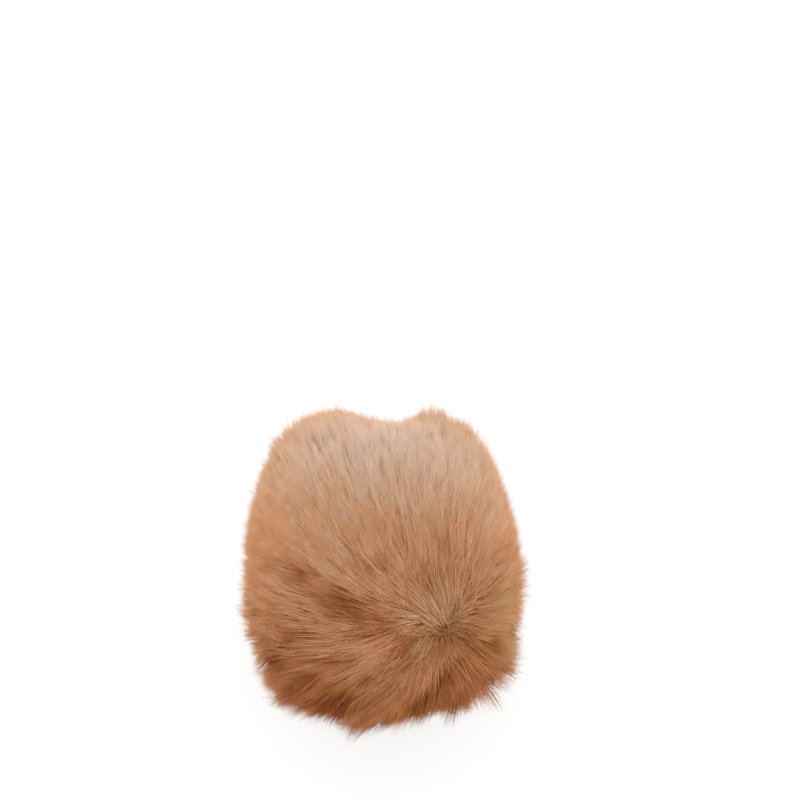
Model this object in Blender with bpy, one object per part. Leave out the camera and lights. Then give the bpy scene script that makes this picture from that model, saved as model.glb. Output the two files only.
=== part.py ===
"""Faux-fur pom pom, lying free on a flat surface.

A round of long-pile fur fabric gathered into a ball. The ball is worked out from its middle: a core that all the
roots are fused into, and on each face of the core one tuft of pile. A tuft leans away from the parting at the
front and ends on the outer surface of the pile. Underneath, the pile is shorter and ends level with the surface
that the ball rests on, around one small pad of crushed pile.

Units are metres, +Z is up, and -Y is the front.
"""

import math
import random
from collections import namedtuple

import bmesh
import bpy
from mathutils import Vector

# ---- Driving sizes
HALF_WIDTH = 0.0465  # left to right
HALF_DEPTH = 0.0545  # front to back
HALF_HEIGHT = 0.0500  # middle to crown
MIDDLE_HEIGHT = 0.0450  # the pile's own middle, above the surface
MIDDLE_SHIFT = Vector((0.00122, 0.00053))  # the pile's middle, from the middle of the whole outline
PILE_LENGTH = 0.0200  # root to tip, measured straight out
ROOT_GAP = 0.0007  # bare strip that each tuft leaves along each edge of its face

# ---- How the tufts are laid out and shaped
ROOT_POINTS = 150
ROOT_JITTER = 0.16  # share of the distance between two root points
LENGTH_SPREAD = 0.08  # share of the pile's length by which a tuft may be longer or shorter
LEAN = 0.38  # how far a tuft leans, as the tangent of the angle seen from the middle
LEAN_CURVE = 1.7  # above 1, a tuft leaves the core upright and bends over towards its tip
LEAN_RISE = math.radians(9.0)  # the lean grows from the parting over about this angle
LEAN_FADE_START = math.radians(70.0)  # the lean is full up to this far from the parting
LEAN_FADE_END = math.radians(175.0)  # and gone at this far
UPRIGHT_ANGLE = math.radians(85.0)  # nearer than this to straight down, the pile stands more and more upright
SEED = 7

# One row for each ring of a tuft: how far out along the pile it is, and its width beside the face's own width.
Ring = namedtuple("Ring", "reach width")
RINGS = (
    Ring(reach=0.34, width=0.90),
    Ring(reach=0.66, width=0.88),
    Ring(reach=0.90, width=0.74),
    Ring(reach=1.00, width=0.50),
)

# Where the pile stands proud or lies low. Angles are in degrees, azimuth from +X towards +Y; height is a share of
# the radius, and a negative height is a dent.
Swell = namedtuple("Swell", "azimuth elevation spread height")
SWELLS = (
    Swell(azimuth=132, elevation=33, spread=26, height=0.125),  # crown, back left
    Swell(azimuth=54, elevation=35, spread=17, height=0.075),  # crown, back right
    Swell(azimuth=71, elevation=38, spread=6, height=0.070),  # tuft beside the dip
    Swell(azimuth=89, elevation=41, spread=15, height=-0.115),  # dip between the two, at the back
    Swell(azimuth=80, elevation=40, spread=5, height=-0.055),  # its deepest place
    Swell(azimuth=88, elevation=20, spread=12, height=-0.080),  # its lower end
    Swell(azimuth=10, elevation=11, spread=22, height=-0.050),  # right flank
    Swell(azimuth=228, elevation=35, spread=8, height=-0.045),  # valley across the left shoulder
    Swell(azimuth=243, elevation=34, spread=8, height=-0.045),  # the valley, further on
    Swell(azimuth=258, elevation=31, spread=8, height=-0.035),  # its shallow end, near the parting
    Swell(azimuth=316, elevation=28, spread=9, height=0.035),  # ridge on the other side of the parting
    Swell(azimuth=311, elevation=3, spread=7, height=-0.050),  # hollow below that ridge
    Swell(azimuth=223, elevation=-24, spread=26, height=0.115),  # skirt, front left
    Swell(azimuth=240, elevation=-37, spread=7, height=-0.120),  # nick in the skirt
    Swell(azimuth=252, elevation=-39, spread=6, height=0.070),  # skirt beside the nick
    Swell(azimuth=280, elevation=-40, spread=15, height=-0.080),  # skirt, front
    Swell(azimuth=323, elevation=-25, spread=18, height=0.125),  # skirt, front right
)

# The two ends of the parting that the pile leans away from, as (azimuth, elevation) in degrees.
PARTING_TOP = (297, 21)
PARTING_FOOT = (298, 13)

# Pile that is brushed another way than straight away from the parting. The pull grows between two heights, each
# given as the sine of an elevation.
Brush = namedtuple("Brush", "towards pull starts full")
BRUSHES = (
    Brush(towards=Vector((0, 1, 0)), pull=2.0, starts=0.40, full=0.76),  # the crown is brushed back
    Brush(towards=Vector((0, 0, -1)), pull=1.0, starts=0.30, full=-0.30),  # the skirt hangs
)


def direction(azimuth, elevation):
    """Unit vector for two angles in degrees."""
    turn, rise = math.radians(azimuth), math.radians(elevation)
    return Vector((math.cos(turn) * math.cos(rise), math.sin(turn) * math.cos(rise), math.sin(rise)))


DOWN = Vector((0, 0, -1))
MIDDLE = Vector((MIDDLE_SHIFT.x, MIDDLE_SHIFT.y, MIDDLE_HEIGHT))
SWELL_TABLE = [(direction(s.azimuth, s.elevation), math.radians(s.spread), s.height) for s in SWELLS]
PARTING = (direction(*PARTING_TOP), direction(*PARTING_FOOT))


def pile_radius(aim):
    """Distance from the middle to the outer surface of the pile, along the unit vector aim."""
    plain = 1 / math.sqrt((aim.x / HALF_WIDTH) ** 2 + (aim.y / HALF_DEPTH) ** 2 + (aim.z / HALF_HEIGHT) ** 2)
    swollen = sum(height * math.exp(-((aim.angle(at) / spread) ** 2)) for at, spread, height in SWELL_TABLE)
    return plain * (1 + swollen)


def reach_to_floor(aim):
    """Distance from the middle to the surface below, which is endless where aim doesn't point down."""
    return MIDDLE_HEIGHT / -aim.z if aim.z < 0 else math.inf


def clamped(value):
    """The value, kept from 0 to 1."""
    return min(1.0, max(0.0, value))


def nearest_on_parting(aim):
    """The direction on the parting that is nearest to aim, or its middle where aim is far round the ball."""
    top, foot = PARTING
    along = clamped((aim - top).dot(foot - top) / (foot - top).length_squared)
    nearness = clamped(aim.dot((top + foot).normalized()))
    return top.lerp(foot, 0.5 + (along - 0.5) * nearness).normalized()


def brushed_lie(aim, parting):
    """The way that pile lies at aim: away from the parting, and then as it is brushed."""
    lie = (aim * aim.dot(parting) - parting).normalized()
    for brush in BRUSHES:
        share = clamped((aim.z - brush.starts) / (brush.full - brush.starts))
        across = brush.towards - aim * aim.dot(brush.towards)
        lie = lie + across * brush.pull * share * share * (3 - 2 * share)
    return lie.normalized()


def leaning(aim, reach):
    """The direction in which pile rooted at aim points once it is this share of its length out."""
    parting = nearest_on_parting(aim)
    distance = aim.angle(parting)
    past_start = clamped((distance - LEAN_FADE_START) / (LEAN_FADE_END - LEAN_FADE_START))
    above_floor = clamped(aim.angle(DOWN) / UPRIGHT_ANGLE)
    strength = LEAN * (1 - math.exp(-distance / LEAN_RISE)) * (1 - past_start) * above_floor * reach**LEAN_CURVE
    return (aim + brushed_lie(aim, parting) * strength).normalized()


def pile_point(root_aim, reach):
    """The point that pile rooted at root_aim passes through at this share of its length."""
    aim = leaning(root_aim, reach)
    root = pile_radius(root_aim) - PILE_LENGTH
    tip = min(pile_radius(aim), reach_to_floor(aim))
    point = MIDDLE + aim * (root + (tip - root) * reach)
    point.z = max(point.z, 0.0)
    return point


def root_directions():
    """Unit vectors spread evenly round the ball on a golden-angle spiral, then nudged a little."""
    random.seed(SEED)
    golden_angle = math.pi * (3 - math.sqrt(5))
    nudge = ROOT_JITTER * math.sqrt(4 * math.pi / ROOT_POINTS)
    aims = []
    for i in range(ROOT_POINTS):
        height = 1 - (2 * i + 1) / ROOT_POINTS
        ring = math.sqrt(1 - height * height)
        turn = golden_angle * i
        aim = Vector((ring * math.cos(turn), ring * math.sin(turn), height))
        aims.append((aim + Vector([random.uniform(-nudge, nudge) for _ in range(3)])).normalized())
    return aims


def middle_aim(face):
    """The direction from the ball's middle to a face's own middle."""
    return (face.calc_center_median() - MIDDLE).normalized()


def raise_pad(shape, pad):
    """Draws these faces of the core down to the surface as one flat pad."""
    bmesh.ops.inset_region(shape, faces=pad, thickness=ROOT_GAP)
    drawn = bmesh.ops.extrude_face_region(shape, geom=pad)["geom"]
    bmesh.ops.delete(shape, geom=pad, context="FACES")
    for v in [g for g in drawn if isinstance(g, bmesh.types.BMVert)]:
        v.co = pile_point((v.co - MIDDLE).normalized(), 1.0)


def raise_tuft(shape, face):
    """Grows one tuft out of a face of the core, ring by ring."""
    centre = middle_aim(face)
    corners = [(v.co - MIDDLE).normalized() for v in face.verts]
    stands_clear = reach_to_floor(centre) > pile_radius(centre)
    length = 1 + random.uniform(-LENGTH_SPREAD, LENGTH_SPREAD) * stands_clear
    for ring in RINGS:
        face = bmesh.ops.extrude_discrete_faces(shape, faces=[face])["faces"][0]
        for v, corner in zip(face.verts, corners, strict=True):
            v.co = pile_point(centre.lerp(corner, ring.width).normalized(), ring.reach * length)


def fur_ball():
    """The core with its pad and its tufts, as one closed mesh."""
    shape = bmesh.new()
    for aim in root_directions():
        shape.verts.new(aim)
    bmesh.ops.convex_hull(shape, input=shape.verts)
    for v in shape.verts:
        v.co = pile_point(v.co.normalized(), 0.0)
    shape.normal_update()
    pad = list(min(shape.verts, key=lambda v: v.co.z).link_faces)
    roots = [f for f in shape.faces if f not in pad]
    bmesh.ops.inset_individual(shape, faces=roots, thickness=ROOT_GAP)
    for face in roots:
        raise_tuft(shape, face)
    raise_pad(shape, pad)
    print(f"{len(roots)} tufts round a pad of {len(pad)} faces")
    bmesh.ops.triangulate(shape, faces=shape.faces)
    return shape


def fur_material():
    """Tan fur with a soft, dull surface."""
    material = bpy.data.materials.new("tan_fur")
    material.use_nodes = True
    shader = material.node_tree.nodes["Principled BSDF"]
    shader.inputs["Base Color"].default_value = (0.50, 0.28, 0.16, 1.0)
    shader.inputs["Roughness"].default_value = 0.85
    shader.inputs["Metallic"].default_value = 0.0
    return material


def clear_scene():
    for thing in list(bpy.data.objects):
        bpy.data.objects.remove(thing, do_unlink=True)


def main():
    clear_scene()
    shape = fur_ball()
    mesh = bpy.data.meshes.new("pom_pom")
    shape.to_mesh(mesh)
    shape.free()
    mesh.materials.append(fur_material())
    ball = bpy.data.objects.new("pom_pom", mesh)
    bpy.context.scene.collection.objects.link(ball)


main()
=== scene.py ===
# %% [markdown]
# # A faux-fur pom pom
#
# A pom pom like this is one round of long-pile fur fabric, gathered at its edge into a ball. From
# outside nothing shows but the pile: fine hairs about 20 mm long that stand on the fabric, lean over,
# and bunch into tufts. This lesson builds the pile around a imported solid that gives the ball its size
# and place.
#
# First comes the frame: the imported solid.

import math
import random
from collections import namedtuple

import bmesh
import bpy
import numpy as np
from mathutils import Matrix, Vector
from mathutils.kdtree import KDTree


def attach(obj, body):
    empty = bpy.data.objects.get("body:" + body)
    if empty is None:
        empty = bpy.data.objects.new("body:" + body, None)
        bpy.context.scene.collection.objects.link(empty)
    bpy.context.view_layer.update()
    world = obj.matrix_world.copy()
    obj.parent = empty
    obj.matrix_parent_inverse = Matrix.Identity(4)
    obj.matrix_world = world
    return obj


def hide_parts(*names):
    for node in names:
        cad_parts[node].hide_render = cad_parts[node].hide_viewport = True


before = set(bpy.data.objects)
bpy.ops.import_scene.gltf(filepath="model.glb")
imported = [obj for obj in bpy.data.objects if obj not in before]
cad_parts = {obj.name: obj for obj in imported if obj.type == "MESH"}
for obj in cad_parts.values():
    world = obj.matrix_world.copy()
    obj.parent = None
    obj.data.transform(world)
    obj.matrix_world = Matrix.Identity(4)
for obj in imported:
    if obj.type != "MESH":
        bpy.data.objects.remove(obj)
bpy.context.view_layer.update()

# %% [markdown]
# ## The camera
#
# The ball is seen from about 50 degrees above the surface, through a long lens, so that it hardly
# tapers with distance. It stands low in the picture, so the camera looks past it, at a point up and to
# the right of its middle. The picture's scale gives the distance: a known width of floor fills a known
# number of pixels.

# %% Camera
PICTURE = 800  # pixels along each side
BALL_PIXEL = (385, 568)  # where the ball's middle is seen, from the top left corner
MM_PER_PIXEL = 0.331
CAMERA_RISE = math.radians(50)  # above the surface, seen from the ball
LENS, SENSOR = 135.0, 36.0  # mm
CLIP_START, CLIP_END = 0.01, 10.0  # m
MIDDLE = np.array([0.00122, 0.00053, 0.0450])  # the middle that the pile grows out from

pixel = MM_PER_PIXEL / 1000
towards_camera = Vector((0, -math.cos(CAMERA_RISE), math.sin(CAMERA_RISE)))
picture_up = Vector((0, math.sin(CAMERA_RISE), math.cos(CAMERA_RISE)))
distance = PICTURE * pixel * LENS / SENSOR
aim_right = (PICTURE / 2 - BALL_PIXEL[0]) * pixel
aim_up = (BALL_PIXEL[1] - PICTURE / 2) * pixel
station = Vector(MIDDLE) + towards_camera * distance
aim_at = Vector(MIDDLE) + Vector((aim_right, 0, 0)) + picture_up * aim_up

bpy.ops.object.camera_add(location=station, rotation=(aim_at - station).to_track_quat("-Z", "Y").to_euler())
camera = bpy.context.object
camera.name = "camera"
camera.data.lens, camera.data.sensor_width = LENS, SENSOR
camera.data.clip_start, camera.data.clip_end = CLIP_START, CLIP_END
bpy.context.scene.camera = camera
print(f"camera {distance * 1000:.0f} mm from the ball")

# %% [markdown]
# ## Working with directions
#
# Everything on a ball is easiest to tell as a direction from its middle. There will be nearly two
# hundred thousand hairs, so the helpers work on whole arrays of directions at once, one direction in
# each row.

# %% Directions
TINY = 1e-12  # keeps a length of nothing from being divided by


def direction(azimuth, elevation):
    """Unit vector for two angles in degrees, the first from +X towards +Y."""
    turn, rise = math.radians(azimuth), math.radians(elevation)
    return np.array([math.cos(turn) * math.cos(rise), math.sin(turn) * math.cos(rise), math.sin(rise)])


def unit(vectors):
    """Each row at length one."""
    return vectors / np.maximum(np.linalg.norm(vectors, axis=1, keepdims=True), TINY)


def angle_between(aims, other):
    """Angle in radians between each row and another direction, or the same row of another array."""
    return np.arccos(np.clip((aims * other).sum(1), -1, 1))


def bell(angles, spread):
    """1 at an angle of 0, fading away over about this spread."""
    return np.exp(-((angles / spread) ** 2))


def ramp_between(values, starts, full):
    """0 at starts and 1 at full, smoothly."""
    share = np.clip((values - starts) / (full - starts), 0, 1)
    return share * share * (3 - 2 * share)


print("front is", direction(270, 0).round(3))

# %% [markdown]
# ## The form of the pile
#
# A ball of fur isn't round. It is an oval with soft swells and dips, and each can be told as a
# direction, a spread and a height. Writing them in a short table keeps them easy to read and to change.

# %% Outer surface of the pile
HALF_WIDTH, HALF_DEPTH, HALF_HEIGHT = 0.0465, 0.0545, 0.0500
PILE_LENGTH = 0.0200  # root to tip, measured straight out

Swell = namedtuple("Swell", "azimuth elevation spread height")  # degrees, and height as a share of the radius
SWELLS = (
    Swell(azimuth=132, elevation=33, spread=26, height=0.125),  # crown, back left
    Swell(azimuth=54, elevation=35, spread=17, height=0.075),  # crown, back right
    Swell(azimuth=71, elevation=38, spread=6, height=0.070),  # tuft beside the dip
    Swell(azimuth=89, elevation=41, spread=15, height=-0.115),  # dip between the two, at the back
    Swell(azimuth=80, elevation=40, spread=5, height=-0.055),  # its deepest place
    Swell(azimuth=88, elevation=20, spread=12, height=-0.080),  # its lower end
    Swell(azimuth=10, elevation=11, spread=22, height=-0.050),  # right flank
    Swell(azimuth=228, elevation=35, spread=8, height=-0.045),  # valley across the left shoulder
    Swell(azimuth=243, elevation=34, spread=8, height=-0.045),  # the valley, further on
    Swell(azimuth=258, elevation=31, spread=8, height=-0.035),  # its shallow end, near the parting
    Swell(azimuth=316, elevation=28, spread=9, height=0.035),  # ridge on the other side of the parting
    Swell(azimuth=311, elevation=3, spread=7, height=-0.050),  # hollow below that ridge
    Swell(azimuth=223, elevation=-24, spread=26, height=0.115),  # skirt, front left
    Swell(azimuth=240, elevation=-37, spread=7, height=-0.120),  # nick in the skirt
    Swell(azimuth=252, elevation=-39, spread=6, height=0.070),  # skirt beside the nick
    Swell(azimuth=280, elevation=-40, spread=15, height=-0.080),  # skirt, front
    Swell(azimuth=323, elevation=-25, spread=18, height=0.125),  # skirt, front right
)


def pile_radius(aims):
    """Distance from the middle to the outer surface of the pile, for each direction."""
    plain = 1 / np.linalg.norm(aims / [HALF_WIDTH, HALF_DEPTH, HALF_HEIGHT], axis=1)
    swollen = np.zeros(len(aims))
    for swell in SWELLS:
        from_swell = angle_between(aims, direction(swell.azimuth, swell.elevation))
        swollen += swell.height * bell(from_swell, math.radians(swell.spread))
    return plain * (1 + swollen)


def reach_to_floor(aims):
    """Distance from the middle to the surface below, endless where a direction doesn't point down."""
    return np.where(aims[:, 2] < 0, MIDDLE[2] / np.maximum(-aims[:, 2], TINY), np.inf)


print("pile from the middle to the right, back and top, in mm:", (1000 * pile_radius(np.eye(3))).round(1))

# %% [markdown]
# ## Which way the pile lies
#
# Fur has a lie. Here it parts along a short line at the front and leans away from it on every side: up
# over the crown, out over both flanks, and down to the surface below. A hair leaves the backing upright
# and bends over towards its tip, so the lean grows with how far out along the hair a point is. On top
# of that the crown is brushed back, and the skirt hangs.

# %% Lie of the pile
LEAN = 0.38  # the tangent of the angle by which a tip is carried, seen from the middle
LEAN_CURVE = 1.7  # above 1, a hair starts upright and bends over towards its tip
LEAN_RISE = math.radians(6)  # the lean grows from the parting over about this angle
LEAN_FADE_START, LEAN_FADE_END = math.radians(70), math.radians(175)
UPRIGHT_ANGLE = math.radians(85)  # nearer than this to straight down, the pile stands more and more upright
DOWN = np.array([0.0, 0.0, -1.0])

PARTING_TOP, PARTING_FOOT = direction(300, 15), direction(301, 8)
PARTING_LINE = PARTING_FOOT - PARTING_TOP
PARTING_MIDDLE = unit((PARTING_TOP + PARTING_FOOT)[None])[0]

Brush = namedtuple("Brush", "towards pull starts full")  # the heights are sines of the elevation
BRUSHES = (
    Brush(towards=(0, 1, 0), pull=2.0, starts=0.40, full=0.76),  # the crown
    Brush(towards=(0, 0, -1), pull=1.0, starts=0.30, full=-0.30),  # the skirt
)


def away_from_parting(aims):
    """For each direction, the way that leads away from the parting, and the angle to it."""
    along = np.clip(((aims - PARTING_TOP) @ PARTING_LINE) / (PARTING_LINE @ PARTING_LINE), 0, 1)
    share = 0.5 + (along - 0.5) * np.clip(aims @ PARTING_MIDDLE, 0, 1)
    parting = unit(PARTING_TOP + share[:, None] * PARTING_LINE)
    away = unit(aims * (aims * parting).sum(1, keepdims=True) - parting)
    return away, angle_between(aims, parting)


def lie_of_pile(aims):
    """For each direction, the way that pile lies there, as long as its lean is strong."""
    lie, distance = away_from_parting(aims)
    for brush in BRUSHES:
        towards = np.array(brush.towards, float)
        across = towards - aims * (aims @ towards)[:, None]
        lie = lie + across * (brush.pull * ramp_between(aims[:, 2], brush.starts, brush.full))[:, None]
    fade = np.clip((LEAN_FADE_END - distance) / (LEAN_FADE_END - LEAN_FADE_START), 0, 1)
    fade = fade * (1 - np.exp(-distance / LEAN_RISE))
    strength = fade * np.clip(angle_between(aims, DOWN) / UPRIGHT_ANGLE, 0, 1)
    return unit(lie) * strength[:, None]


def pile_points(aims, reach, lie):
    """Where pile rooted at these directions, with this lie, is at this share of its length."""
    now = unit(aims + lie * (LEAN * np.maximum(reach, 0) ** LEAN_CURVE)[:, None])
    root = pile_radius(aims) - PILE_LENGTH
    tip = np.minimum(pile_radius(now), reach_to_floor(now))
    return MIDDLE + now * (root + (tip - root) * reach)[:, None]


crown = np.array([[0.0, 0.0, 1.0]])
crown_root, crown_tip = (pile_points(crown, np.array([reach]), lie_of_pile(crown)) for reach in (0.0, 1.0))
print("a hair of the crown runs, in mm:", (1000 * (crown_tip - crown_root)[0]).round(1))

# %% [markdown]
# ## Tufts, locks and wisps
#
# Hair gathers at three sizes. The largest are the tufts that the solid is made of, one on each face of
# a core with evenly scattered corners. Inside a tuft there are locks, and inside a lock there are wisps
# of a few hairs. Each gathering is a set of directions, and each hair is drawn towards the nearest of
# each set, more at its tip than at its root.

# %% Directions that hairs gather towards
ROOT_POINTS, ROOT_JITTER, ROOT_SEED = 150, 0.16, 7  # as the solid's core
LOCKS, WISPS = 800, 4800
GATHERING_JITTER = 0.45  # share of their spacing by which locks and wisps are scattered
HAIR_SEED = 20
GOLDEN_TURN = math.pi * (3 - math.sqrt(5))


def spiral(count, rng, jitter):
    """Directions spread evenly on a golden-angle spiral, then nudged by a share of their spacing."""
    i = np.arange(count)
    height = 1 - (2 * i + 1) / count
    ring, turn = np.sqrt(1 - height**2), i * GOLDEN_TURN
    aims = np.column_stack([ring * np.cos(turn), ring * np.sin(turn), height])
    return unit(aims + rng.uniform(-jitter, jitter, aims.shape) * math.sqrt(4 * math.pi / count))


def tuft_aims():
    """The directions of the solid's tufts: the faces of a hull round its root points."""
    random.seed(ROOT_SEED)
    nudge = ROOT_JITTER * math.sqrt(4 * math.pi / ROOT_POINTS)
    core = bmesh.new()
    for i in range(ROOT_POINTS):
        height = 1 - (2 * i + 1) / ROOT_POINTS
        ring, turn = math.sqrt(1 - height * height), GOLDEN_TURN * i
        aim = Vector((ring * math.cos(turn), ring * math.sin(turn), height))
        core.verts.new((aim + Vector([random.uniform(-nudge, nudge) for _ in range(3)])).normalized())
    bmesh.ops.convex_hull(core, input=core.verts)
    middles = np.array([f.calc_center_median() for f in core.faces])
    core.free()
    return unit(middles)


def nearest(aims, centres):
    """The number of the nearest centre for each direction."""
    tree = KDTree(len(centres))
    for i, centre in enumerate(centres):
        tree.insert(centre, i)
    tree.balance()
    return np.array([tree.find(aim)[1] for aim in aims])


rng = np.random.default_rng(HAIR_SEED)
TUFTS = tuft_aims()
LOCK_AIMS = spiral(LOCKS, rng, GATHERING_JITTER)
WISP_AIMS = spiral(WISPS, rng, GATHERING_JITTER)
print(len(TUFTS), "tufts,", LOCKS, "locks,", WISPS, "wisps")

# %% [markdown]
# ## One hair of each kind
#
# This fur has two kinds of hair, as most pelts and the fabrics that copy them do. Down is straight and
# dense, and makes the surface soft. Guard hairs are few. They are rooted deeper, bend over, and stray
# from their wisps more often, so single ones catch the eye.
#
# Either one is a thin closed spike. It is modelled once: a cone with three sides, and for a
# guard hair a cut across it at a height where it can bend. Thousands of copies of a three-sided spike
# cost little, and from any distance at which a hair can be seen at all, three sides look round.
#
# Each face also gets its place on a small colour chart: across the chart runs the way from root to tip,
# and up it run the tints. A hair sits at the height of its own tint, and all its faces have a little
# width there.

# %% A hair, modelled once
SIDES = 3  # of a hair
CHART = "OFBake"  # the name of the UV map that holds the colour chart
CHART_MARGIN = 0.02  # left free at both ends of the chart
CHART_WIDTH = 0.004  # half the width of a hair on the chart
DECIMALS = 4  # points that agree to this many are at one level

Pattern = namedtuple("Pattern", "levels level_of sides faces chart taper")


def chart_places(faces, level_of, levels):
    """(way from root to tip, side) of each corner of each face, the side from -1 to 1."""
    tip = level_of.max()
    places = []
    for face in faces:
        turns = sorted({v % SIDES for v in face if level_of[v] < tip})
        closes_root = len(turns) == SIDES
        for v in face:
            side = 0 if level_of[v] == tip else {turns[0]: -1, turns[-1]: 1}.get(v % SIDES, 0)
            step = CHART_MARGIN / 2 if closes_root and side == 0 else 0  # gives the root's own face some area
            places.append((levels[level_of[v]] + step, side))
    return np.array(places)


def hair_pattern(bends, taper):
    """A spike of height 1 with a ring at each bend, and its width at each ring, root first."""
    bpy.ops.object.select_all(action="DESELECT")
    bpy.ops.mesh.primitive_cone_add(vertices=SIDES, radius1=1, radius2=0, depth=1, location=(0, 0, 0.5))
    spike = bpy.context.object
    bpy.ops.object.mode_set(mode="EDIT")
    for bend in bends:
        bpy.ops.mesh.select_all(action="SELECT")
        bpy.ops.mesh.bisect(plane_co=(0, 0, bend), plane_no=(0, 0, 1))
    bpy.ops.object.mode_set(mode="OBJECT")
    points = np.array([v.co + spike.location for v in spike.data.vertices])
    faces = [list(p.vertices) for p in spike.data.polygons]
    bpy.data.objects.remove(spike, do_unlink=True)
    levels, level_of = np.unique(np.round(points[:, 2], DECIMALS), return_inverse=True)
    sides = unit(points[:, :2])
    print("a hair of", len(points), "points and", len(faces), "faces, with rings at", levels)
    return Pattern(levels, level_of, sides, faces, chart_places(faces, level_of, levels), np.array(taper))


STRAIGHT_HAIR = hair_pattern(bends=(), taper=(1.0, 0.0))
BENT_HAIR = hair_pattern(bends=(0.55,), taper=(1.0, 0.85, 0.0))

# %% [markdown]
# ## Copying the hair
#
# Every copy follows its own path, a few points from root to tip. The points of all copies are worked
# out together as arrays and put into one mesh, which is far quicker than adding objects one by one. The
# sides are turned to a direction of their own on each hair, so that the copies don't all face one way.
# The mesh also keeps normals that point straight out of the ball: fur takes light as one soft surface,
# and not as thousands of hard slivers.

# %% Many hairs as one mesh
def copied_points(pattern, paths, half_widths):
    """The points of a copy of the hair along each path, as hairs by points by 3."""
    run = unit(paths[:, -1] - paths[:, 0])
    turn = unit(np.cross(run, unit(rng.normal(size=(len(paths), 3)))))
    over = np.cross(run, turn)
    spread = half_widths[:, None] * pattern.taper[pattern.level_of]
    co = paths[:, pattern.level_of]
    co = co + turn[:, None] * (spread * pattern.sides[:, 0])[..., None]
    co = co + over[:, None] * (spread * pattern.sides[:, 1])[..., None]
    co[..., 2] = np.maximum(co[..., 2], 0.0)
    return co


def joined_hairs(name, pattern, paths, half_widths, tints, material):
    """One mesh with a copy of the hair along each path. paths is hairs by levels by 3."""
    co = copied_points(pattern, paths, half_widths)
    count, points = co.shape[:2]
    corners = np.concatenate(pattern.faces)
    sizes = np.array([len(face) for face in pattern.faces])
    starts = np.cumsum(sizes) - sizes
    each = np.arange(count)[:, None]
    mesh = bpy.data.meshes.new(name)
    mesh.vertices.add(count * points)
    mesh.vertices.foreach_set("co", co.astype(np.float32).ravel())
    mesh.loops.add(count * len(corners))
    mesh.loops.foreach_set("vertex_index", (each * points + corners).ravel())
    mesh.polygons.add(count * len(sizes))
    mesh.polygons.foreach_set("loop_start", (each * len(corners) + starts).ravel())
    mesh.update(calc_edges=True)

    chart = np.empty((count, len(corners), 2), np.float32)
    chart[..., 0] = CHART_MARGIN + (1 - 2 * CHART_MARGIN) * pattern.chart[:, 0]
    chart[..., 1] = CHART_MARGIN + (1 - 2 * CHART_MARGIN) * tints[:, None] + CHART_WIDTH * pattern.chart[:, 1]
    mesh.uv_layers.new(name=CHART).data.foreach_set("uv", chart.ravel())
    mesh.shade_smooth()
    outwards = unit((co - MIDDLE).reshape(-1, 3))
    mesh.attributes.new("custom_normal", "FLOAT_VECTOR", "POINT").data.foreach_set("vector", outwards.ravel())
    mesh.update()
    mesh.materials.append(material)
    piece = bpy.data.objects.new(name, mesh)
    bpy.context.scene.collection.objects.link(piece)
    print(name, count, "hairs,", count * int((sizes - 2).sum()), "triangles")
    return piece


# %% [markdown]
# ## The colours of the fur
#
# Each hair is dark brown at its root, tan along its length and paler at its tip: the dark root is partly
# the hair's own colour and partly painted shade deep in the pile. Between hairs the tint goes from a
# deep tan to a pale, slightly pink cream, and some hairs of the right flank are a little golden; round
# the ball the deep tints also serve as painted shade and the pale ones as painted light. The chart holds
# all of this: one ramp up the chart for the tints, with the golden ones in a band at its top, and one
# across it that darkens the roots. Pale hair darkens least.

# %% The colour chart
Shade = namedtuple("Shade", "at colour")
TINTS = (  # up the chart: from the deepest tan to the palest cream, then the golden band
    Shade(0.00, (0.20, 0.058, 0.014)),
    Shade(0.10, (0.37, 0.125, 0.038)),
    Shade(0.20, (0.56, 0.220, 0.085)),
    Shade(0.35, (0.70, 0.330, 0.155)),
    Shade(0.50, (0.78, 0.400, 0.205)),
    Shade(0.62, (0.81, 0.520, 0.345)),
    Shade(0.80, (0.88, 0.670, 0.545)),
    Shade(0.88, (0.54, 0.280, 0.085)),
    Shade(1.00, (0.76, 0.460, 0.220)),
)
# The darker root is partly the hair's own colour and partly painted shade deep in the pile.
ROOT_TONE_AND_SHADE = (  # across the chart: what the tint is multiplied by
    Shade(0.00, (0.50, 0.30, 0.16)),
    Shade(0.60, (0.80, 0.66, 0.52)),
    Shade(1.00, (1.00, 1.00, 1.00)),
)
TINT_TOP = 0.80  # height on the chart of the palest tint
GOLD_FROM = 0.88  # above this, the golden band
DEEP_TINT, PALE_TINT = 0.30, 0.50  # between these, roots get paler
PALE_ROOT = 0.05  # how much the roots of pale hair still darken
print(len(TINTS), "tints up the chart,", len(ROOT_TONE_AND_SHADE), "across it")

# %% [markdown]
# ## The finish
#
# The finish reads a hair's place on the chart from its UV map. Fur hardly shines as a whole, because its
# hairs turn their sides every way, so the finish is rough and reflects little.

# %% The finish
FUR_ROUGHNESS, FUR_SHINE = 0.75, 0.05


def ramp(tree, name, shades):
    """A colour ramp node with these stops."""
    node = tree.nodes.new("ShaderNodeValToRGB")
    node.name = node.label = name
    stops = node.color_ramp.elements
    while len(stops) < len(shades):
        stops.new(0.5)
    for stop, shade in zip(stops, shades, strict=True):
        stop.position, stop.color = shade.at, (*shade.colour, 1)
    return node


def multiplied(tree, one, other):
    """The socket that holds the product of two colour nodes."""
    product = tree.nodes.new("ShaderNodeMix")
    product.data_type, product.blend_type = "RGBA", "MULTIPLY"
    product.inputs["Factor"].default_value = 1
    tree.links.new(one.outputs["Color"], product.inputs["A"])
    tree.links.new(other.outputs["Color"], product.inputs["B"])
    return product.outputs["Result"]


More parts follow.
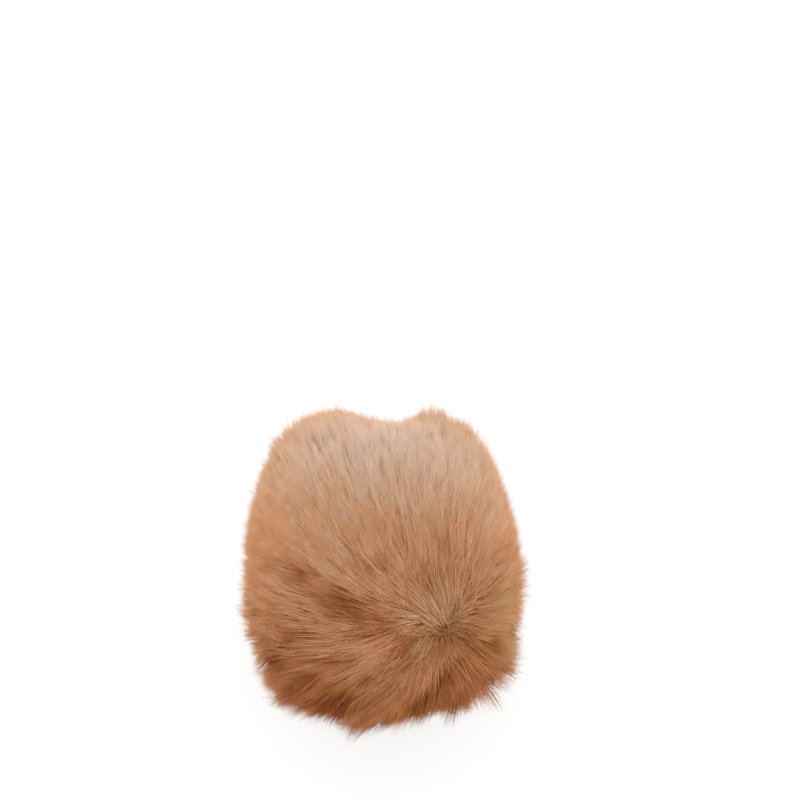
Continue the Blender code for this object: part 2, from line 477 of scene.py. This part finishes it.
def fur_material():
    """A dull, soft finish that takes each hair's colour from its place on the chart."""
    material = bpy.data.materials.new("long_pile_fur")
    material.use_nodes = True
    tree = material.node_tree
    nodes, links = tree.nodes, tree.links
    shader = nodes["Principled BSDF"]
    chart = nodes.new("ShaderNodeUVMap")
    chart.uv_map = CHART
    apart = nodes.new("ShaderNodeSeparateXYZ")
    links.new(chart.outputs["UV"], apart.inputs["Vector"])
    tint, depth = ramp(tree, "tint", TINTS), ramp(tree, "root_tone_and_shade", ROOT_TONE_AND_SHADE)
    links.new(apart.outputs["Y"], tint.inputs["Fac"])
    links.new(apart.outputs["X"], depth.inputs["Fac"])
    darkening = nodes.new("ShaderNodeMapRange")
    darkening.inputs["From Min"].default_value = DEEP_TINT
    darkening.inputs["From Max"].default_value = PALE_TINT
    darkening.inputs["To Min"].default_value = 1.0
    darkening.inputs["To Max"].default_value = PALE_ROOT
    links.new(apart.outputs["Y"], darkening.inputs["Value"])
    colour = multiplied(tree, tint, depth)
    links.new(darkening.outputs["Result"], colour.node.inputs["Factor"])
    links.new(colour, shader.inputs["Base Color"])
    shader.inputs["Roughness"].default_value = FUR_ROUGHNESS
    shader.inputs["Specular IOR Level"].default_value = FUR_SHINE
    return material


FUR = fur_material()
print("finish:", FUR.name)

# %% [markdown]
# ## Where the pile parts and stands up
#
# Between its large locks the pile sinks, and the shade there is painted in as a deeper tint; where a
# lock crosses another it stands up, and the light it catches is painted in as a paler tint. Each such
# place is a row: a line between two directions, a spread, and what changes there.

# %% Creases and ridges between locks
# A crease's tint is painted shade where it is below 0 and painted light where it is above.
Crease = namedtuple("Crease", "start end spread height tint")  # two directions, and what changes there
CREASES = (
    Crease((214, 35), (246, 34), 5, -0.020, -0.13),  # valley across the left shoulder
    Crease((246, 34), (264, 30), 6, -0.015, -0.15),  # its shallow end, towards the middle
    Crease((295, 34), (333, 21), 6, 0.010, 0.03),  # ridge right of the parting
    Crease((345, 38), (352, 18), 13, 0.000, 0.03),  # painted light on the right shoulder
    Crease((266, 42), (306, 34), 10, 0.000, 0.09),  # painted light above the parting
    Crease((278, 28), (292, 26), 8, 0.000, 0.04),  # and down to it
    Crease((303, 8), (318, 0), 5, -0.030, -0.26),  # wedge below that ridge, in painted shade
    Crease((230, 12), (240, -4), 7, -0.035, -0.10),  # hollow in the left flank
    Crease((222, -8), (240, -18), 8, -0.015, -0.16),  # painted shade low on the left
    Crease((214, -3), (220, -6), 5, 0.045, 0.00),  # lock that sticks out above it
    Crease((229, -11), (240, -15), 4, -0.060, 0.00),  # shorter pile below that lock
    Crease((276, -2), (280, -26), 3, -0.045, -0.10),  # gap between two locks of the skirt
    Crease((248, -8), (239, -38), 3, -0.070, -0.12),  # nick in the skirt
    Crease((225, -11), (300, -19), 9, -0.030, 0.00),  # shorter hem all along
    Crease((250, -20), (252, -26), 3, 0.110, 0.00),  # lock beside the nick
    Crease((260, -14), (261, -34), 4, -0.055, 0.00),  # shorter hem, right of that lock
    Crease((275, -24), (281, -24), 4, -0.030, 0.00),  # shorter hem, in the middle of the front
    Crease((296, -18), (302, -14), 5, -0.030, 0.00),  # shorter hem, below the parting
    Crease((308, -9), (311, -10), 5, 0.025, 0.00),  # long lock at the lower right
    Crease((320, 2), (325, -6), 5, -0.045, 0.00),  # shorter pile above it
    Crease((300, 36), (309, 32), 4, -0.025, -0.05),  # short gap above the parting
    Crease((262, 44), (266, 54), 5, -0.020, -0.03),  # shallow dip in the crown
    Crease((59, 54), (60, 50), 4, 0.050, 0.00),  # tuft right of the dip at the back
    Crease((74, 58), (74, 53), 4, -0.045, -0.02),  # the dip's deepest place
)
CREASE_LENGTH = 2.4  # the pile's change in length, beside its change in height


def crease_changes(aims):
    """For each direction, the changes in the pile's length and in its tint, painted shade and painted light,
    that the creases give.
    """
    height, tint = np.zeros(len(aims)), np.zeros(len(aims))
    for crease in CREASES:
        start, end = direction(*crease.start), direction(*crease.end)
        along = np.clip(((aims - start) @ (end - start)) / ((end - start) @ (end - start)), 0, 1)
        apart = angle_between(aims, unit(start + along[:, None] * (end - start)))
        share = bell(apart, math.radians(crease.spread))
        height += crease.height * share
        tint += crease.tint * share
    return height * CREASE_LENGTH, tint


longest = crease_changes(LOCK_AIMS)[0].max().round(2)
print(len(CREASES), "creases and ridges, which make a lock up to", longest, "longer")

# %% [markdown]
# ## What the hairs of a lock share
#
# Each hair leans a little more or less than its neighbours and has a length and a tint of its own. Most
# of that unevenness is drawn once for each lock and each wisp and shared by all their hairs, of both
# coats, which is what makes strokes with gaps between them. Unevenness drawn for single hairs alone
# would look like noise.

# %% What the hairs of one lock or wisp share
def for_both(lock_spread, wisp_spread, *axes):
    """A random value, or a vector, for each lock and for each wisp."""
    return rng.normal(0, lock_spread, (LOCKS, *axes)), rng.normal(0, wisp_spread, (WISPS, *axes))


SHARED_LIE = for_both(0.20, 0.24, 3)
SHARED_LEAN = for_both(0.08, 0.10)
SHARED_LENGTH = for_both(0.06, 0.12)
SHARED_TINT = for_both(0.09, 0.16)
LOCK_PULL = rng.uniform(0.1, 0.6, LOCKS)  # how far each lock gathers its hairs
WISP_PULL = rng.uniform(0.6, 0.95, WISPS)


def shared(pair, lock_of, wisp_of):
    """What each hair gets from its lock and its wisp together."""
    of_locks, of_wisps = pair
    return of_locks[lock_of] + of_wisps[wisp_of]


print("wisps differ in length by up to", np.abs(SHARED_LENGTH[1]).max().round(2))

# %% [markdown]
# ## How the pile differs from side to side
#
# The crown is sleek and is painted pale, as lit from above and behind, and the skirt is painted
# deeper, as in shade, and breaks into wisps. Near the parting the hairs are tousled. At the back, where
# they point at whoever looks, they are kept apart and a little wider, or the undercoat would show
# between them. So each hair is told how much of these three holds where it grows, and each property
# says how it changes with them.

# %% Sides of the ball
# The light comes from this side, and the fur's paleness there is painted light.
LIT_SLEEK_SIDE = np.array([0.0, 0.6, 0.8])  # the fur is palest and sleekest on this side
SLEEK_FROM, SLEEK_FULL = -0.75, 0.40  # as the cosine of the angle to that side
TOUSLE_ANGLE = math.radians(16)  # the pile is tousled this far round the parting
BEHIND_FROM, BEHIND_FULL = 0.15, 0.75  # as the cosine of the angle to straight back

Where = namedtuple("Where", "sleek parting behind")
LOOSE = Where(sleek=-0.8, parting=-0.35, behind=-0.6)  # changes in how far hairs gather
TOUSLED = Where(sleek=-0.6, parting=1.2, behind=0)  # in how unevenly they lie
MOTTLED = Where(sleek=-0.8, parting=-0.7, behind=0)  # in how much their tints differ


def sleek(aims):
    """How sleek the pile is in each direction, from 0 to 1."""
    return ramp_between(aims @ LIT_SLEEK_SIDE, SLEEK_FROM, SLEEK_FULL)


def by_parting(aims):
    """How near the parting each direction is, from 0 to 1."""
    return bell(away_from_parting(aims)[1], TOUSLE_ANGLE)


def behind(aims):
    """How far round to the back each direction is, from 0 to 1."""
    return ramp_between(aims[:, 1], BEHIND_FROM, BEHIND_FULL)


def changed(change, where):
    """1 for each hair, and more or less where the pile is sleek, near the parting, or behind."""
    sleekened = 1 + change.sleek * where.sleek
    return sleekened * (1 + change.parting * where.parting) * (1 + change.behind * where.behind)


print("share of the locks that are sleek:", sleek(LOCK_AIMS).mean().round(2))

# %% [markdown]
# ## Tints, with painted light and shade
#
# Round the ball the tint runs from deep to pale: painted shade below and painted light towards the lit
# side above, a little less of it at the back. A hair then differs from the pile round it: a long one
# reaches the light, which is painted in as a paler tint. Those wisps that are golden are so only where
# they grow on the right flank.

# %% Tints
# The tint rises towards the lit side as painted light and falls below as painted shade.
MIDDLE_TINT, TINT_UP, TINT_DOWN = 0.42, 0.34, 0.36
WARM_BACK, WARM_FROM, WARM_FULL = 0.5, 0.35, 0.85  # how much of the paleness goes at the back
DEEPER, PALER = -0.36, 0.10  # the most that a hair differs from the pile round it
HAIR_MOTTLE = 0.02  # of single hairs
# A longer hair reaches more light, which is painted in as a paler tint.
LENGTH_PAINTED_LIGHT = 0.8  # how much paler a longer hair is
SLEEK_COAT_TINT = 0.6  # how much of its coat's own tint a sleek hair loses
DEEPEST = 0.01  # the least height on the chart
GOLD_SIDE, GOLD_ANGLE = direction(330, 5), math.radians(24)
GOLD_EDGE = (0.6, 1)  # shares of that angle where the gold ends, hair by hair
GOLD_STRETCH = 2  # tints spread over more of the golden band
GOLDEN_SHARE = 0.45  # of the wisps
GOLDEN_WISPS = rng.random(WISPS) < GOLDEN_SHARE


def lit_and_shaded_tint(aims):
    """The tint of the pile on each side, painted paler towards the lit side and deeper below as shade, before
    its locks differ.
    """
    facing = aims @ LIT_SLEEK_SIDE
    warm_back = 1 - WARM_BACK * ramp_between(aims[:, 1], WARM_FROM, WARM_FULL)
    return MIDDLE_TINT + np.where(facing > 0, TINT_UP * warm_back, -TINT_DOWN) * facing**2


def hair_tints(coat, tip_aims, wisp_of, uneven, sleekness):
    """Heights on the colour chart, with painted light and shade, for hairs that differ this much from the
    pile round them.
    """
    tints = lit_and_shaded_tint(tip_aims) + crease_changes(tip_aims)[1] + np.clip(uneven, DEEPER, PALER)
    tints = np.clip(tints + coat.tint * (1 - SLEEK_COAT_TINT * sleekness), DEEPEST, TINT_TOP)
    edge = GOLD_ANGLE * rng.uniform(*GOLD_EDGE, len(tip_aims))
    golden = GOLDEN_WISPS[wisp_of] & (angle_between(tip_aims, GOLD_SIDE) < edge)
    tints[golden] = GOLD_FROM + (1 - GOLD_FROM) * np.clip(tints[golden] * GOLD_STRETCH, 0, 1)
    return tints


print("plain tints from", lit_and_shaded_tint(LOCK_AIMS).min().round(2), "to", lit_and_shaded_tint(LOCK_AIMS).max().round(2))

# %% [markdown]
# ## Two coats, and where their hairs are rooted
#
# On a pelt both kinds of hair grow from one skin. Here the roots of each coat are spread evenly over the
# ball, and closer round the parting, where hairs leave on every side and would otherwise leave it bare.
# Fewer are needed below, where the ball rests, and fewer guard hairs where the pile is sleek. Nothing is
# seen of a hair's lower half, so each starts part of the way up.

# %% Roots
HAIR_JITTER = 0.9  # share of their spacing by which hairs are scattered
CROWDING, CROWDING_ANGLE = 0.66, math.radians(20)  # share of the way that roots move, and how far round
UNDER_FROM, UNDER_FULL, UNDER_THINNED = -0.75, -0.90, 0.6  # sines of the elevation, and the share left out

Coat = namedtuple("Coat", "name hairs thinned pattern root_reach half_width strays tint")
COATS = (
    Coat(
        name="down", hairs=192000, thinned=0.0, pattern=STRAIGHT_HAIR,
        root_reach=0.62, half_width=0.00013, strays=0.07, tint=0.0,
    ),
    Coat(
        name="guard", hairs=24000, thinned=0.5, pattern=BENT_HAIR,
        root_reach=0.50, half_width=0.00011, strays=0.20, tint=0.02,
    ),
)


def nearer_parting(aims):
    """Moves directions towards the parting."""
    away, distance = away_from_parting(aims)
    step = distance * CROWDING * bell(distance, CROWDING_ANGLE)
    return unit(aims - away * np.tan(step)[:, None])


def rooted(coat):
    """The root directions of one coat."""
    aims = nearer_parting(spiral(coat.hairs, rng, HAIR_JITTER))
    under = ramp_between(aims[:, 2], UNDER_FROM, UNDER_FULL)
    kept = rng.random(len(aims)) < (1 - coat.thinned * sleek(aims)) * (1 - UNDER_THINNED * under)
    return aims[kept]


print("coats:", [coat.name for coat in COATS])

# %% [markdown]
# ## The path of a hair
#
# Each hair is drawn towards its tuft, its lock and its wisp, leans, and gets its length. The wisps differ
# most in length at the hem of the skirt, which makes it ragged. Some hairs of each coat stray: they lean
# less and are longer, and give the outline its fuzz.

# %% Paths
TUFT_PULL = 0.15  # how far hairs gather to their tuft; locks and wisps have pulls of their own
WISP_HOLD = (0.8, 1.0)  # share of a wisp's pull that each hair takes
GATHER_CURVE = 1.5  # above 1, hairs gather mostly near their tips
HAIR_LEAN = 1.1  # beside the lean of the solid's tufts
LEAN_SPREAD, LIE_SPREAD, LENGTH_SPREAD = 0.03, 0.05, 0.03  # of single hairs
SLEEK_EVEN = 0.85  # how much of the wisps' difference in length goes where the pile is sleek
RAGGED_HEM = 0.7  # how much more the wisps differ in length at the hem
HEM_STARTS, HEM_FULL = 0.1, -0.5  # sines of the elevation
SHORTEST, LONGEST = 0.75, 1.22  # shares of the pile's length
STRAY_LEAN, STRAY_LENGTH = (0.4, 0.9), (0.98, 1.18)  # beside the lean of other hairs and the pile's length


def gathered(aims, level, gathers):
    """Directions drawn towards the nearest centre of each set, more the nearer to the tip."""
    drawn = aims
    for centres, pull in gathers:
        drawn = drawn + (centres - aims) * (pull * level**GATHER_CURVE)[:, None]
    return unit(drawn)


def hair_paths(coat, aims, where, lock_of, wisp_of):
    """The path of each hair, as hairs by levels by 3, and how much longer its lock and wisp make it."""
    count = len(aims)
    loose = changed(LOOSE, where)
    gathers = (
        (TUFTS[nearest(aims, TUFTS)], TUFT_PULL * (1 - where.sleek)),
        (LOCK_AIMS[lock_of], LOCK_PULL[lock_of] * loose),
        (WISP_AIMS[wisp_of], WISP_PULL[wisp_of] * rng.uniform(*WISP_HOLD, count) * loose),
    )

    lean = HAIR_LEAN * (1 + shared(SHARED_LEAN, lock_of, wisp_of) + rng.normal(0, LEAN_SPREAD, count))
    sideways = shared(SHARED_LIE, lock_of, wisp_of) + rng.normal(0, LIE_SPREAD, (count, 3))
    lie = lie_of_pile(aims) * lean[:, None] + sideways * changed(TOUSLED, where)[:, None]

    ragged = 1 - SLEEK_EVEN * where.sleek + RAGGED_HEM * ramp_between(aims[:, 2], HEM_STARTS, HEM_FULL)
    longer = shared(SHARED_LENGTH, lock_of, wisp_of) * ragged
    length = np.clip(1 + longer + rng.normal(0, LENGTH_SPREAD, count), SHORTEST, LONGEST)
    stray = rng.random(count) < coat.strays
    lie[stray] *= rng.uniform(*STRAY_LEAN, count)[stray, None]
    length[stray] = rng.uniform(*STRAY_LENGTH, count)[stray]
    length = length * (1 + crease_changes(aims)[0])

    paths = []
    for level in coat.pattern.levels:
        reach = coat.root_reach + (length - coat.root_reach) * level
        paths.append(pile_points(gathered(aims, level, gathers), reach, lie))
    return np.stack(paths, axis=1), longer


print("hairs stray:", {coat.name: coat.strays for coat in COATS})

# %% [markdown]
# ## One coat
#
# With its roots and its paths, a coat still needs a width and a tint for each hair. Near the parting and
# at the back, hairs are seen end-on and cover little, so they are wider there.

# %% Growing one coat
WIDTHS = (0.7, 1.15)  # beside the coat's own
PARTING_WIDER, BEHIND_WIDER = 0.4, 0.5

Grown = namedtuple("Grown", "aims paths half_widths tints")


def grown(coat):
    """The hairs of one coat: where each is rooted, its path, its width and its tint."""
    aims = rooted(coat)
    count = len(aims)
    lock_of, wisp_of = nearest(aims, LOCK_AIMS), nearest(aims, WISP_AIMS)
    where = Where(sleek(aims), by_parting(aims), behind(aims))
    paths, longer = hair_paths(coat, aims, where, lock_of, wisp_of)

    wider = 1 + PARTING_WIDER * where.parting + BEHIND_WIDER * where.behind
    half_widths = coat.half_width * rng.uniform(*WIDTHS, count) * wider
    uneven = shared(SHARED_TINT, lock_of, wisp_of) + rng.normal(0, HAIR_MOTTLE, count) + LENGTH_PAINTED_LIGHT * longer
    uneven = uneven * changed(MOTTLED, where)
    tints = hair_tints(coat, unit(paths[:, -1] - MIDDLE), wisp_of, uneven, where.sleek)
    return Grown(aims, paths, half_widths, tints)


# %% [markdown]
# ## Both coats
#
# Each coat is split into six patches by the side that its hairs grow on. One mesh for a whole coat
# would look the same, but a mesh of a hundred thousand triangles is easier to select, hide and export.

# %% Both coats, each in six patches
PATCHES = {
    "crown": (0, 0, 1), "under": (0, 0, -1), "front": (0, -1, 0),
    "back": (0, 1, 0), "left": (-1, 0, 0), "right": (1, 0, 0),
}
fur = []
for coat in COATS:
    hairs = grown(coat)
    patch_of = np.argmax(hairs.aims @ np.array(list(PATCHES.values())).T, axis=1)
    for number, patch in enumerate(PATCHES):
        here = patch_of == number
        arrays = (values[here] for values in (hairs.paths, hairs.half_widths, hairs.tints))
        fur.append(joined_hairs(f"{coat.name}_{patch}", coat.pattern, *arrays, FUR))

# %% [markdown]
# ## The undercoat
#
# Below the long hairs a fur fabric has a short, dense undercoat, and under that its backing. It is what
# the eye meets in the gaps. It is one lumpy closed ball: a fine icosphere, each of whose points is
# moved out along the pile. It sinks between tufts, at the parting and at the back, where the eye looks
# in along the hairs.

# %% Undercoat ball
SUBDIVISIONS = 6
UNDERCOAT_REACH, SLEEK_UNDERCOAT_REACH = 0.75, 0.80  # shares of the pile's length
GROOVE, GROOVE_CURVE = 0.05, 1.5  # how much lower the undercoat lies between two tufts
PIT = 0.03  # and at the parting
LOW_BACK = 0.06  # and at the back
LUMPS = 0.012  # how uneven it is from point to point

bpy.ops.object.select_all(action="DESELECT")
bpy.ops.mesh.primitive_ico_sphere_add(subdivisions=SUBDIVISIONS, radius=1, location=(0, 0, 0))
undercoat = bpy.context.object
undercoat.name = undercoat.data.name = "undercoat"
ball_aims = unit(np.array([v.co for v in undercoat.data.vertices]))
from_tuft = angle_between(ball_aims, TUFTS[nearest(ball_aims, TUFTS)])
reach = UNDERCOAT_REACH + (SLEEK_UNDERCOAT_REACH - UNDERCOAT_REACH) * sleek(ball_aims)
reach = reach - GROOVE * (from_tuft / from_tuft.max()) ** GROOVE_CURVE
reach = reach + rng.normal(0, LUMPS, len(ball_aims)) + crease_changes(ball_aims)[0]
reach = reach - PIT * by_parting(ball_aims) - LOW_BACK * behind(ball_aims)
ball_points = pile_points(ball_aims, reach, lie_of_pile(ball_aims))
undercoat.data.vertices.foreach_set("co", ball_points.astype(np.float32).ravel())
bpy.ops.object.shade_smooth()
print("undercoat of", len(ball_points), "points, at", reach.mean().round(2), "of the pile's length")

# %% [markdown]
# ## The undercoat's finish
#
# The undercoat is deep tan below and paler towards the crown, as the hair over it is: painted shade
# below and painted light towards the lit side. It has a fine grain like felt. Its colour comes from the
# way each place faces, read from Object coordinates, so it needs no map.

# %% Undercoat finish
# Deeper away from the lit side and paler towards it: painted shade and painted light.
UNDERCOAT_SHADED_TINT = (  # by how far a place faces the pale side, from 0 for away from it to 1 for towards it
    Shade(0.30, (0.30, 0.120, 0.045)),
    Shade(0.50, (0.40, 0.180, 0.080)),
    Shade(0.70, (0.54, 0.285, 0.155)),
    Shade(1.00, (0.70, 0.460, 0.320)),
)
UNDERCOAT_TONES = (  # by the grain: what the tint is multiplied by
    Shade(0.36, (0.78, 0.68, 0.58)),
    Shade(0.62, (1.00, 0.96, 0.92)),
)
GRAIN_SCALE, GRAIN_DETAIL = 900, 3
GRAIN_HEIGHT = 0.0006  # m
UNDERCOAT_ROUGHNESS = 0.9


def vector_node(tree, operation, vector, constant=None):
    """A vector math node that works on this socket and, if stated, a constant."""
    node = tree.nodes.new("ShaderNodeVectorMath")
    node.operation = operation
    tree.links.new(vector, node.inputs[0])
    if constant is not None:
        node.inputs[1].default_value = constant
    return node


def undercoat_material():
    """Deep tan with a fine grain, painted paler towards the lit side and deeper away from it, as the fur is.
    """
    material = bpy.data.materials.new("short_undercoat")
    material.use_nodes = True
    tree = material.node_tree
    nodes, links = tree.nodes, tree.links
    shader = nodes["Principled BSDF"]
    place = nodes.new("ShaderNodeTexCoord")
    from_middle = vector_node(tree, "SUBTRACT", place.outputs["Object"], MIDDLE)
    aim = vector_node(tree, "NORMALIZE", from_middle.outputs["Vector"])
    facing = vector_node(tree, "DOT_PRODUCT", aim.outputs["Vector"], LIT_SLEEK_SIDE)
    share = nodes.new("ShaderNodeMapRange")
    share.inputs["From Min"].default_value = -1
    links.new(facing.outputs["Value"], share.inputs["Value"])
    tint = ramp(tree, "undercoat_shaded_tint", UNDERCOAT_SHADED_TINT)
    links.new(share.outputs["Result"], tint.inputs["Fac"])
    grain = nodes.new("ShaderNodeTexNoise")
    grain.inputs["Scale"].default_value = GRAIN_SCALE
    grain.inputs["Detail"].default_value = GRAIN_DETAIL
    links.new(place.outputs["Object"], grain.inputs["Vector"])
    tone = ramp(tree, "undercoat_tone", UNDERCOAT_TONES)
    links.new(grain.outputs["Fac"], tone.inputs["Fac"])
    links.new(multiplied(tree, tint, tone), shader.inputs["Base Color"])
    bump = nodes.new("ShaderNodeBump")
    bump.inputs["Distance"].default_value = GRAIN_HEIGHT
    links.new(grain.outputs["Fac"], bump.inputs["Height"])
    links.new(bump.outputs["Normal"], shader.inputs["Normal"])
    shader.inputs["Roughness"].default_value = UNDERCOAT_ROUGHNESS
    shader.inputs["Specular IOR Level"].default_value = 0.0
    return material


undercoat.data.materials.append(undercoat_material())
print(undercoat.data.materials[0].name, "with", len(UNDERCOAT_SHADED_TINT), "tints")

# %% [markdown]
# ## Riding the frame
#
# Every piece rides on the imported body, so it goes where the solid goes. The undercoat stands for the
# solid, which is then hidden.

# %% Ride
for piece in [undercoat, *fur]:
    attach(piece, "root")
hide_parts("pom_pom")
print(1 + len(fur), "pieces ride on the body")

# %% [markdown]
# ## Floor and light
#
# The ball lies on a plain white surface in soft light from all sides, with hardly a shadow. The world
# gives most of it. One lamp from the front fills in the near side, a weak one from above lifts the
# crown, and two low ones behind light the hair tips along the outline.

# %% Floor
FLOOR_SIZE, FLOOR_GAP = 8, 0.0002  # m; the gap keeps the lowest hairs clear of the floor
FLOOR_GREY, FLOOR_GLOW = 0.20, 0.82  # a floor that glows stays white, with only a faint shadow

bpy.ops.object.select_all(action="DESELECT")
bpy.ops.mesh.primitive_plane_add(size=FLOOR_SIZE, location=(0, 0, -FLOOR_GAP))
floor = bpy.context.object
floor.name = "floor"
paper = bpy.data.materials.new("white_paper")
paper.use_nodes = True
shader = paper.node_tree.nodes["Principled BSDF"]
shader.inputs["Base Color"].default_value = (FLOOR_GREY, FLOOR_GREY, FLOOR_GREY, 1)
shader.inputs["Roughness"].default_value = 1.0
shader.inputs["Specular IOR Level"].default_value = 0.0
shader.inputs["Emission Color"].default_value = (1, 1, 1, 1)
shader.inputs["Emission Strength"].default_value = FLOOR_GLOW
floor.data.materials.append(paper)
print("floor", FLOOR_SIZE, "m wide")

# %% Light
Lamp = namedtuple("Lamp", "name place size watts")
LAMPS = (
    Lamp("light_above", (0.05, 0.45, 0.9), 0.7, 0.9),
    Lamp("light_front", (0.0, -0.78, 0.6), 0.6, 2.3),
    Lamp("light_back_left", (-0.6, 0.65, 0.2), 0.7, 2.7),
    Lamp("light_back_right", (0.6, 0.65, 0.2), 0.7, 3.0),
)
for lamp in LAMPS:
    place = Vector(lamp.place)
    turn = (Vector(MIDDLE) - place).to_track_quat("-Z", "Y").to_euler()
    bpy.ops.object.light_add(type="AREA", location=place, rotation=turn)
    light = bpy.context.object
    light.name = lamp.name
    light.data.size, light.data.energy = lamp.size, lamp.watts

world = bpy.data.worlds.new("studio")
world.use_nodes = True
sky = world.node_tree.nodes["Background"]
sky.inputs["Color"].default_value = (1, 1, 1, 1)
sky.inputs["Strength"].default_value = 1.0
bpy.context.scene.world = world
bpy.context.scene.view_settings.view_transform = "Standard"
print(len(LAMPS), "lamps")
